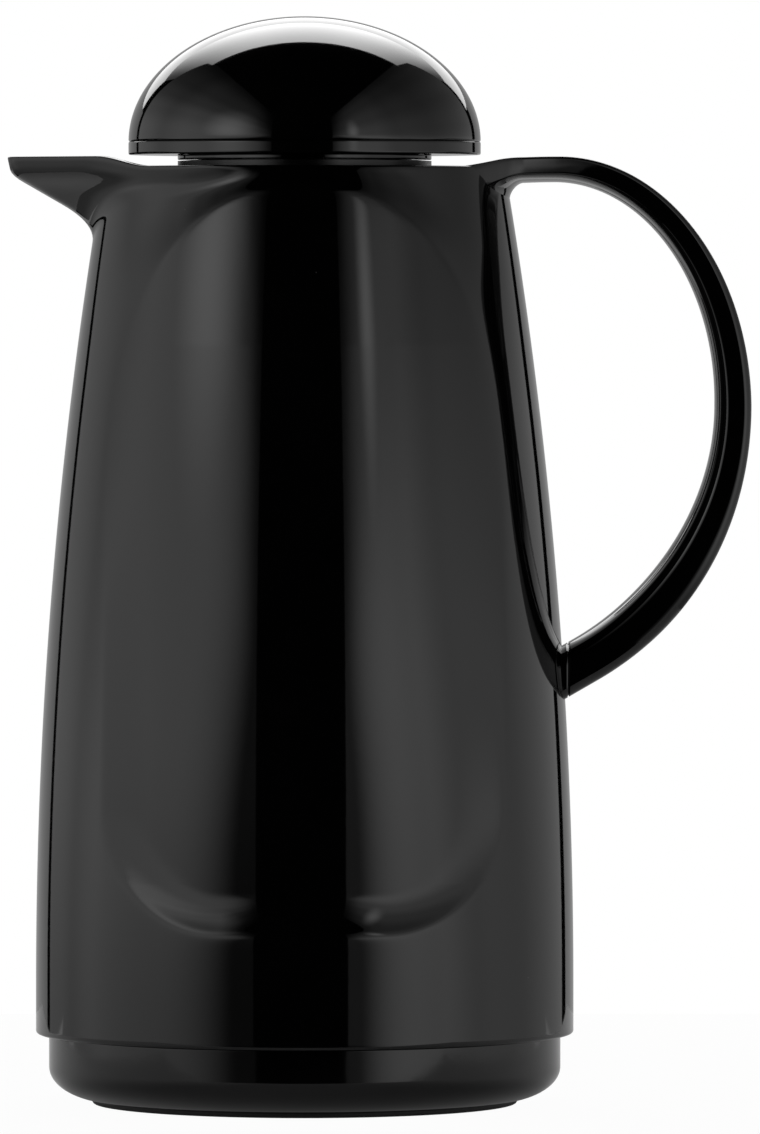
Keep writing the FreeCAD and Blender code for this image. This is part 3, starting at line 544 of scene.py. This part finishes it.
stations = list(handle_line())
handle_rows = []
for i, (c, d, t, w) in enumerate(stations):
    fade_in = smooth((i - GROOVE_FROM) / GROOVE_FADE)
    fade_out = smooth((len(stations) - GROOVE_TO - i) / GROOVE_FADE)
    handle_rows.append(place_section(c, d, t / 2.0, w, handle_edge(t), GROOVE * float(fade_in * fade_out)))
end_place, end_way, end_t, end_w = stations[-1]
seam_rows = ((0.6, 0.0), (0.2, 0.0), (0.06, GROOVE), (-0.06, GROOVE), (-0.2, 0.0), (-0.6, 0.0), (-8.0, 0.0))
for x, sunk in seam_rows:
    row = place_section(end_place, end_way, end_t / 2.0 - sunk, end_w - sunk, handle_edge(end_t))
    slide = (seam_x + x - row[:, 0]) / end_way[0]
    handle_rows.append(row + slide[:, None] * end_way)
count = len(handle_rows[0])
neck = handle_rows[0]

# Root: a sheet of curves from where the handle lands on the shoulder to its neck
SPREAD_T = 4.4            # half thickness of the root where it lands
SPREAD_W = 21.0           # half width there
SPREAD_EDGE = 1.6
RIM_MARGIN = 0.3          # the landing stays this far under the rim
FLARE = 0.4               # the upper side lands wider by this share
FLARE_FROM = -3.0         # offset from the middle at which that begins
FLARE_RUN = 6.0
LANDING_SINK = 0.1        # the landing lies this deep in the skin
LEAN_STEP = 0.5           # height over which the skin's lean is taken
TOP_FROM = 1.4            # offset from the middle at which the root's top begins
TOP_RUN = 2.8
TOP_IN = 1.2              # the top lands this far inside the rim
TOP_UNDER = 0.02          # and this far under it
TOP_WAY = np.array([-0.6, 0.0, -0.2])
LANDING_PULL = 0.9        # length of the curves' start along the skin, as a share of their span
root_rows = []
landing = np.zeros((count, 3))
landing_way = np.zeros((count, 3))
for i, (out, side) in enumerate(section(SPREAD_T, SPREAD_W, SPREAD_EDGE)):
    z = min(RIM_Z - SPREAD_T + out, RIM_Z - RIM_MARGIN)
    side = side * (1.0 + FLARE * float(smooth((out - FLARE_FROM) / FLARE_RUN)))
    lean = math.asin(side / RIM_R)
    r, below = (float(skin_r(np.array(math.pi - lean), np.array(h))) for h in (z, z - LEAN_STEP))
    landing[i] = ((r - LANDING_SINK) * math.cos(lean), (r - LANDING_SINK) * math.sin(lean), z)
    top = float(smooth((out - TOP_FROM) / TOP_RUN))
    slope = (r - below) / LEAN_STEP
    round_way = np.array([-math.sin(lean), math.cos(lean), 0.0])
    up_way = np.array([slope * math.cos(lean), slope * math.sin(lean), 1.0])
    away = (round_way * side / SPREAD_W + up_way * out / SPREAD_T) * (1.0 - top)
    landing_way[i] = away + (round_way * side / SPREAD_W + TOP_WAY) * top
    if top > 0.0:
        landing[i, 0] -= TOP_IN * top
        landing[i, 2] = z + (RIM_Z - TOP_UNDER - z) * top
neck_way = np.zeros((count, 3))
neck_way[:, 0] = 1.0
neck_way[:, 1] = -2.0 * HANDLE_SPREAD * (HANDLE_PLAIN_X - ROOT_NECK_X) * neck[:, 1] / handle_w(ROOT_NECK_X)
reach = np.linalg.norm(neck - landing, axis=1)[:, None]
for u in np.linspace(0.0, 1.0, ROOT_ROWS)[:-1]:
    h00 = 2 * u ** 3 - 3 * u ** 2 + 1
    h10 = u ** 3 - 2 * u ** 2 + u
    h01 = -2 * u ** 3 + 3 * u ** 2
    h11 = u ** 3 - u ** 2
    from_skin = h00 * landing + h10 * (-landing_way) * reach * LANDING_PULL
    root_rows.append(from_skin + h01 * neck + h11 * reach * neck_way)
all_rows = root_rows + handle_rows
handle_points = np.concatenate(all_rows)
handle_faces = grid_faces(len(all_rows), count, False, True)
handle_faces.append(tuple(range(count)))
handle_faces.append(tuple(reversed(range((len(all_rows) - 1) * count, len(all_rows) * count))))
handle_nodes = ["handle_shell", "handle_insert"]
mesh_object("handle", handle_points, handle_faces, "jug", handle_nodes, handle_black)

# Base cap and foot
base_flat = BASE_R - BASE_ROUND_W
base_side = BASE_Z + BASE_ROUND_H
BASE_HOLLOW_R = 40.0      # edge of the hollow underneath
BASE_HOLLOW_DEPTH = 1.2
BASE_HOLLOW_EDGE = 0.6
BASE_INNER_R = 30.0       # the mesh ends here, out of sight
BASE_SEAT_R = 60.0        # and closes through these inside the skirt
BASE_SEAT_RISE = 1.0
BASE_INNER_Z = 8.0
base_points = [
    (BASE_INNER_R, BASE_Z + BASE_HOLLOW_DEPTH), (BASE_HOLLOW_R - BASE_HOLLOW_EDGE, BASE_Z + BASE_HOLLOW_DEPTH),
    (BASE_HOLLOW_R, BASE_Z + BASE_HOLLOW_DEPTH / 2.0), (BASE_HOLLOW_R + BASE_HOLLOW_EDGE, BASE_Z)]
base_points += [(base_flat + BASE_ROUND_W * math.sin(a), base_side - BASE_ROUND_H * math.cos(a))
                for a in np.radians(np.linspace(0.0, 90.0, 25))]
base_points += [(BASE_R, base_side + 0.3), (BASE_R, SKIRT_Z - 1.5 * BEVEL)]
base_points += rounded((BASE_R, base_side), (BASE_R, SKIRT_Z), (BASE_SEAT_R, SKIRT_Z + BASE_SEAT_RISE), BEVEL)
base_points += [
    (BASE_SEAT_R, SKIRT_Z + BASE_SEAT_RISE), (BASE_SEAT_R, BASE_INNER_Z), (BASE_INNER_R, BASE_INNER_Z)]
turned("base", base_points, "jug", ["base_cap"], base_black)
foot_top = FOOT_DROP + FOOT_DEPTH
foot_points = profile(
    (FOOT_R - FOOT_W, 0.0, 0.8), (FOOT_R, 0.0, 0.9), (FOOT_R, foot_top, 0.0), (FOOT_R - FOOT_W, foot_top, 0.0))
turned("foot", foot_points, "jug", ["foot_ring"], foot_rubber)

# Stopper
LID_PLATE_T = 1.8
LID_INNER_R = 28.0        # the plate's mesh ends here, hidden by the plug
LID_LIP_R = 43.0          # inner side of the rim band
lid_inside = PLATE_Z + LID_PLATE_T
plate_points = profile(
    (LID_INNER_R, HUB_Z, 0.0), (NECK_R, HUB_Z, 0.3), (NECK_R, PLATE_Z, 0.3), (LID_R, PLATE_Z, 0.5),
    (LID_R, LID_SEAM_Z, 0.45), (LID_LIP_R, LID_SEAM_Z, 0.0), (LID_LIP_R, lid_inside, 0.0),
    (LID_INNER_R, lid_inside, 0.0))
turned("lid_rim", plate_points, "stopper", ["lid_plate"], lid_black)
DOME_LIFT = 0.02          # the dome's underside stands this far off the rim band
DOME_EDGE = 0.15
dome_rows = [
    (LID_R - 2.2, LID_SEAM_Z + DOME_LIFT), (LID_R - 0.35, LID_SEAM_Z + DOME_LIFT),
    (LID_R - 0.1, LID_SEAM_Z + DOME_EDGE)]
dome_rows += [(LID_R * math.cos(a), LID_SEAM_Z + DOME_H * math.sin(a))
              for a in np.radians(np.linspace(1.0, 89.0, 60))]
dome_points = np.concatenate(turned_rows(dome_rows) + [np.array([[0.0, 0.0, LID_SEAM_Z + DOME_H]])])
dome_faces = grid_faces(len(dome_rows), SEGMENTS, False, True)
pole = len(dome_points) - 1
last = (len(dome_rows) - 1) * SEGMENTS
dome_faces += [(last + i, last + (i + 1) % SEGMENTS, pole) for i in range(SEGMENTS)]
dome_faces.append(tuple(reversed(range(SEGMENTS))))
mesh_object("dome", dome_points, dome_faces, "stopper", ["dome_cover"], lid_black)

# Finishes of the CAD pieces that show as they are
finishes = {
    "handle_screw": screw_steel, "flask_outer": silvered_glass, "flask_inner": silvered_glass,
    "flask_spacers": spacer_grey, "mouth_seal": seal_rubber, "flask_cushion": foot_rubber,
    "neck_collar": inner_black, "stopper_plug": inner_black, "plug_keeper": inner_black,
    "stopper_foam": foam_white, "stopper_seal": seal_rubber}
for node, finish in finishes.items():
    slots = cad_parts[node].data.materials
    slots.clear()
    slots.append(finish)

# Stage, lights and camera


WALL_X = 0.6              # distance of the soft walls from the jug, in metres
WALL_LOW = -0.5
WALL_TOP = 1.25
LATE_LOW = 0.269          # below this share of a wall's height, its glow starts late
LATE_HIGH = 0.425         # and above this share, at its front end
BLOOM_SHARE = 0.9         # the round lights stand at this share of the walls' distance
BLOOM_Z = 0.2             # and are aimed from this height
FLOOR_X = 0.25
FLOOR_FRONT = -0.15
FLOOR_BACK = 0.35


def level_ramp(nodes, stops):
    """Grey ramp through (place, level) stops."""
    ramp = nodes.new("ShaderNodeValToRGB")
    ramp.color_ramp.interpolation = "EASE"
    while len(ramp.color_ramp.elements) < len(stops):
        ramp.color_ramp.elements.new(0.5)
    for element, (place, level) in zip(ramp.color_ramp.elements, stops):
        element.position = place
        element.color = (level, level, level, 1.0)
    return ramp


def card(name, corners, strength, along=None, upward=None, late=0.0):
    """Soft light panel. Its glow can follow stops along it and up it, and start later at its foot."""
    mesh = bpy.data.meshes.new(name)
    mesh.from_pydata(corners, [], [(0, 1, 2, 3)])
    layer = mesh.uv_layers.new(name="across")
    for loop, uv in zip(layer.data, ((0, 0), (1, 0), (1, 1), (0, 1))):
        loop.uv = uv
    panel = bpy.data.objects.new(name, mesh)
    bpy.context.scene.collection.objects.link(panel)
    made = bpy.data.materials.new(name)
    made.use_nodes = True
    nodes, links = made.node_tree.nodes, made.node_tree.links
    nodes.clear()
    out = nodes.new("ShaderNodeOutputMaterial")
    glow = nodes.new("ShaderNodeEmission")
    glow.inputs["Strength"].default_value = strength
    links.new(glow.outputs["Emission"], out.inputs["Surface"])
    if along:
        place = nodes.new("ShaderNodeUVMap")
        place.uv_map = "across"
        split = nodes.new("ShaderNodeSeparateXYZ")
        links.new(place.outputs["UV"], split.inputs["Vector"])
        foot = nodes.new("ShaderNodeMapRange")
        foot.interpolation_type = "SMOOTHSTEP"
        foot.inputs["From Min"].default_value = LATE_LOW
        foot.inputs["From Max"].default_value = LATE_HIGH
        foot.inputs["To Min"].default_value = -late
        foot.inputs["To Max"].default_value = 0.0
        links.new(split.outputs["Y"], foot.inputs["Value"])
        rest = nodes.new("ShaderNodeMath")
        rest.operation = "SUBTRACT"
        rest.inputs[0].default_value = 1.0
        links.new(split.outputs["X"], rest.inputs[1])
        shifted = nodes.new("ShaderNodeMath")
        shifted.operation = "MULTIPLY_ADD"
        links.new(foot.outputs["Result"], shifted.inputs[0])
        links.new(rest.outputs[0], shifted.inputs[1])
        links.new(split.outputs["X"], shifted.inputs[2])
        ramp = level_ramp(nodes, along)
        links.new(shifted.outputs[0], ramp.inputs["Fac"])
        links.new(ramp.outputs["Color"], glow.inputs["Color"])
    if upward:
        rising = level_ramp(nodes, upward)
        links.new(split.outputs["Y"], rising.inputs["Fac"])
        scaled = nodes.new("ShaderNodeMath")
        scaled.operation = "MULTIPLY"
        scaled.inputs[1].default_value = strength
        links.new(rising.outputs["Color"], scaled.inputs[0])
        links.new(scaled.outputs[0], glow.inputs["Strength"])
    mesh.materials.append(made)
    panel.visible_camera = False
    panel.visible_shadow = False
    return panel


def sheet_material(name, colour, share, gloss_share):
    """Pale finish that the camera, gloss and glass see whiter than it is lit, with the shadow kept."""
    made = bpy.data.materials.new(name)
    made.use_nodes = True
    nodes, links = made.node_tree.nodes, made.node_tree.links
    nodes.clear()
    out = nodes.new("ShaderNodeOutputMaterial")
    matt = nodes.new("ShaderNodeBsdfDiffuse")
    matt.inputs["Color"].default_value = (colour, colour, colour, 1.0)
    white = nodes.new("ShaderNodeEmission")
    path = nodes.new("ShaderNodeLightPath")
    mirrored = nodes.new("ShaderNodeMath")
    mirrored.operation = "MAXIMUM"
    links.new(path.outputs["Is Glossy Ray"], mirrored.inputs[0])
    links.new(path.outputs["Is Transmission Ray"], mirrored.inputs[1])
    dimmed = nodes.new("ShaderNodeMath")
    dimmed.operation = "MULTIPLY"
    dimmed.inputs[1].default_value = gloss_share
    links.new(mirrored.outputs[0], dimmed.inputs[0])
    scaled = nodes.new("ShaderNodeMath")
    scaled.operation = "MULTIPLY_ADD"
    scaled.inputs[1].default_value = share
    links.new(path.outputs["Is Camera Ray"], scaled.inputs[0])
    links.new(dimmed.outputs[0], scaled.inputs[2])
    mix = nodes.new("ShaderNodeMixShader")
    links.new(scaled.outputs[0], mix.inputs["Fac"])
    links.new(matt.outputs["BSDF"], mix.inputs[1])
    links.new(white.outputs["Emission"], mix.inputs[2])
    links.new(mix.outputs["Shader"], out.inputs["Surface"])
    return made


floor_mesh = bpy.data.meshes.new("floor")
floor_corners = [
    (-FLOOR_X, FLOOR_FRONT, 0), (FLOOR_X, FLOOR_FRONT, 0), (FLOOR_X, FLOOR_BACK, 0), (-FLOOR_X, FLOOR_BACK, 0)]
floor_mesh.from_pydata(floor_corners, [], [(0, 1, 2, 3)])
floor_mesh.materials.append(sheet_material("floor", 0.55, 0.97, 0.1))
floor = bpy.data.objects.new("floor", floor_mesh)
bpy.context.scene.collection.objects.link(floor)


def wall(side, front, back):
    """Corners of an upright panel beside the jug, from its front end to its back end."""
    x = side * WALL_X
    return [(x, front, WALL_LOW), (x, back, WALL_LOW), (x, back, WALL_TOP), (x, front, WALL_TOP)]


def bloom(name, azimuth, elevation, width, height, strength):
    """Round soft light that fades to nothing at its edge and lets what is behind it through."""
    a, e = math.radians(azimuth), math.radians(elevation)
    away = np.array([math.sin(a) * math.cos(e), -math.cos(a) * math.cos(e), math.sin(e)])
    middle = np.array([0.0, 0.0, BLOOM_Z]) + away * WALL_X * BLOOM_SHARE
    across = np.array([math.cos(a), math.sin(a), 0.0]) * width / 2.0
    up = np.cross(across / np.linalg.norm(across), away) * -height / 2.0
    corners = [tuple(middle + i * across + j * up) for i, j in ((-1, -1), (1, -1), (1, 1), (-1, 1))]
    panel = card(name, corners, strength)
    tree = panel.data.materials[0].node_tree
    nodes, links = tree.nodes, tree.links
    glow = next(n for n in nodes if n.type == "EMISSION")
    out = next(n for n in nodes if n.type == "OUTPUT_MATERIAL")
    place = nodes.new("ShaderNodeUVMap")
    place.uv_map = "across"
    from_middle = nodes.new("ShaderNodeVectorMath")
    from_middle.operation = "DISTANCE"
    from_middle.inputs[1].default_value = (0.5, 0.5, 0.0)
    links.new(place.outputs["UV"], from_middle.inputs[0])
    fade = nodes.new("ShaderNodeMapRange")
    fade.interpolation_type = "SMOOTHSTEP"
    fade.inputs["From Min"].default_value = 0.0
    fade.inputs["From Max"].default_value = 0.5
    fade.inputs["To Min"].default_value = strength
    fade.inputs["To Max"].default_value = 0.0
    links.new(from_middle.outputs["Value"], fade.inputs["Value"])
    links.new(fade.outputs["Result"], glow.inputs["Strength"])
    clear = nodes.new("ShaderNodeBsdfTransparent")
    both = nodes.new("ShaderNodeAddShader")
    links.new(glow.outputs["Emission"], both.inputs[0])
    links.new(clear.outputs["BSDF"], both.inputs[1])
    links.new(both.outputs["Shader"], out.inputs["Surface"])


def heights(*stops):
    """Stops up a wall from (height, level) pairs."""
    return [((z - WALL_LOW) / (WALL_TOP - WALL_LOW), level) for z, level in stops]


card("light_left", wall(-1, -1.56, 0.64), 1.1,
     ((0.0, 0.08), (0.46, 1.0), (0.66, 1.0), (0.8, 0.58), (1.0, 0.42)),
     heights((-0.3, 0.36), (-0.06, 0.62), (0.12, 1.0), (0.36, 1.0), (0.53, 0.68), (0.67, 0.36), (0.83, 0.21),
             (1.24, 0.05)), 0.28)
card("light_right", wall(1, -1.8, 0.75), 1.34,
     ((0.0, 0.15), (0.383, 1.0), (0.478, 0.93), (0.593, 0.62), (0.727, 0.44), (1.0, 0.4)),
     heights((-0.3, 0.36), (-0.06, 0.85), (0.15, 1.0), (0.4, 0.6), (0.65, 0.37), (0.99, 0.2), (1.24, 0.1)), 0.2)
bloom("bloom_left", -49.0, 19.0, 0.42, 0.4, 1.1)
bloom("bloom_right", 31.0, 15.0, 0.1, 0.3, 1.0)
card("light_top", [(-0.9, 0.53, 1.2), (0.9, 0.53, 1.2), (0.9, 1.3, 1.0), (-0.9, 1.3, 1.0)], 4.6,
     ((0.0, 0.05), (0.42, 1.0), (0.58, 1.0), (1.0, 0.05)))
card("light_back", [(-0.9, 1.3, 0.6), (0.9, 1.3, 0.6), (0.9, 1.3, 1.0), (-0.9, 1.3, 1.0)], 2.6)
card("light_behind", [(-1.0, 1.3, -0.3), (0.8, 1.3, -0.3), (0.8, 1.3, 0.6), (-1.0, 1.3, 0.6)], 0.42)
card("light_under", [(-0.9, 0.36, -0.02), (0.9, 0.36, -0.02), (0.9, 1.3, -0.3), (-0.9, 1.3, -0.3)], 0.8)

world = bpy.data.worlds.new("studio")
bpy.context.scene.world = world
world.use_nodes = True
nodes, links = world.node_tree.nodes, world.node_tree.links
sky = nodes["Background"]
path = nodes.new("ShaderNodeLightPath")
sky.inputs["Color"].default_value = (1.0, 1.0, 1.0, 1.0)
links.new(path.outputs["Is Camera Ray"], sky.inputs["Strength"])

PHOTO_H = 1134.0          # height of the photograph in pixels
SCALE = 0.2602            # millimetres to a pixel
DISTANCE = 2900.0
AIM_X = 19.6
AIM_Z = 139.6
EYE_Z = 215.0
camera_data = bpy.data.cameras.new("camera")
camera_data.sensor_width = 36.0
camera_data.lens = camera_data.sensor_width * DISTANCE / (PHOTO_H * SCALE)
camera_data.clip_end = 20.0
camera = bpy.data.objects.new("camera", camera_data)
bpy.context.scene.collection.objects.link(camera)
camera.location = (AIM_X * MM, -DISTANCE * MM, EYE_Z * MM)
camera.rotation_euler = (math.radians(90.0) - math.atan2(EYE_Z - AIM_Z, DISTANCE), 0.0, 0.0)
bpy.context.scene.camera = camera
bpy.context.scene.view_settings.view_transform = "Standard"
